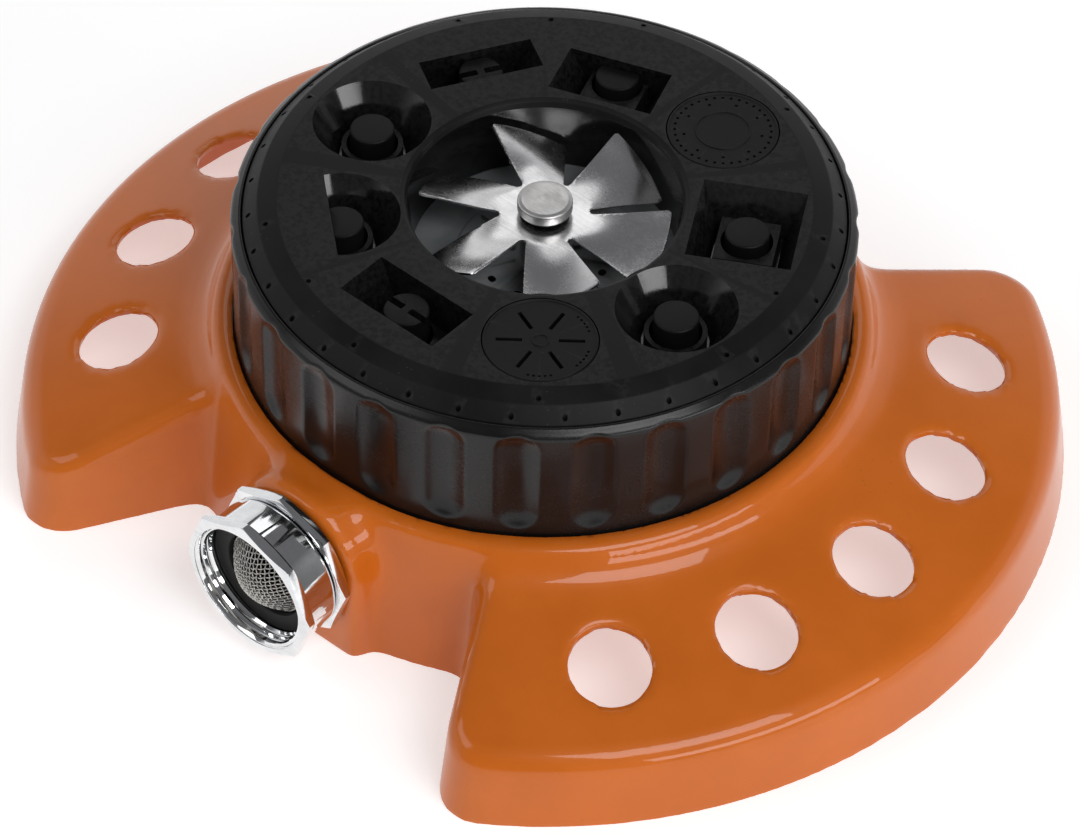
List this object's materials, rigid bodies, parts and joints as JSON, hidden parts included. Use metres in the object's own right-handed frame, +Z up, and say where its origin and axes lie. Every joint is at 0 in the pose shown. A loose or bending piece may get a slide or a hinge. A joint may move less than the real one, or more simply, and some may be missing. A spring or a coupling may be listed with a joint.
{
  "type": "turret sprinkler",
  "caption": "Stationary lawn sprinkler: a two-winged cast base with a swivel hose inlet, and a turning spray turret with a spinning centre fan.",
  "frame": {"origin": "on the ground, under the turret's axis", "axes": "+Z up along the turret's axis, -Y out of the hose inlet, X across the wings"},
  "size_m": [0.221, 0.1838, 0.066],
  "materials": {
    "enamel": "gloss enamel over a die casting",
    "chrome": "polished chrome plating",
    "black_plastic": "satin moulded plastic",
    "steel": "satin stainless steel",
    "polished_steel": "bright sheet stainless steel",
    "nylon": "pale moulded nylon",
    "rubber": "black rubber"
  },
  "bodies": {
    "base": {"base_casting": "enamel", "inlet_nipple": "chrome", "nipple_gasket": "rubber", "port_seal": "rubber", "thrust_washer": "nylon", "pivot_spring": "steel", "click_spring": "steel", "click_screw": "steel"},
    "swivel": {"swivel_nut": "chrome", "hose_washer": "rubber", "strainer_screen": "steel"},
    "fan": {"fan": "polished_steel", "fan_bush": "black_plastic"},
    "turret": {"grip_ring": "black_plastic", "turret_body": "black_plastic", "pattern_face": "black_plastic", "slotted_stud_front": "black_plastic", "cone_stud_right": "black_plastic", "square_stud_right": "black_plastic", "square_stud_rear": "black_plastic", "slotted_stud_rear": "black_plastic", "cone_stud_left": "black_plastic", "cone_stud_front": "black_plastic", "mist_disc": "black_plastic", "shower_disc": "black_plastic", "turret_screw_1": "steel", "turret_screw_2": "steel", "turret_screw_3": "steel", "jet_plate": "nylon", "fan_pin": "steel", "fan_washer": "black_plastic", "pivot_bolt": "steel", "pivot_washer": "steel"}
  },
  "joints": [
    {"name": "turret_spin", "type": "hinge", "parent": "base", "child": "turret", "pos_m": [0, 0, 0.0313], "axis": [0, 0, 1], "continuous": true, "deforming": ["click_spring"]},
    {"name": "fan_spin", "type": "hinge", "parent": "turret", "child": "fan", "pos_m": [0, 0, 0.0607], "axis": [0, 0, 1], "continuous": true},
    {"name": "swivel_spin", "type": "hinge", "parent": "base", "child": "swivel", "pos_m": [0, -0.084, 0.0204], "axis": [0, -1, 0], "continuous": true}
  ]
}
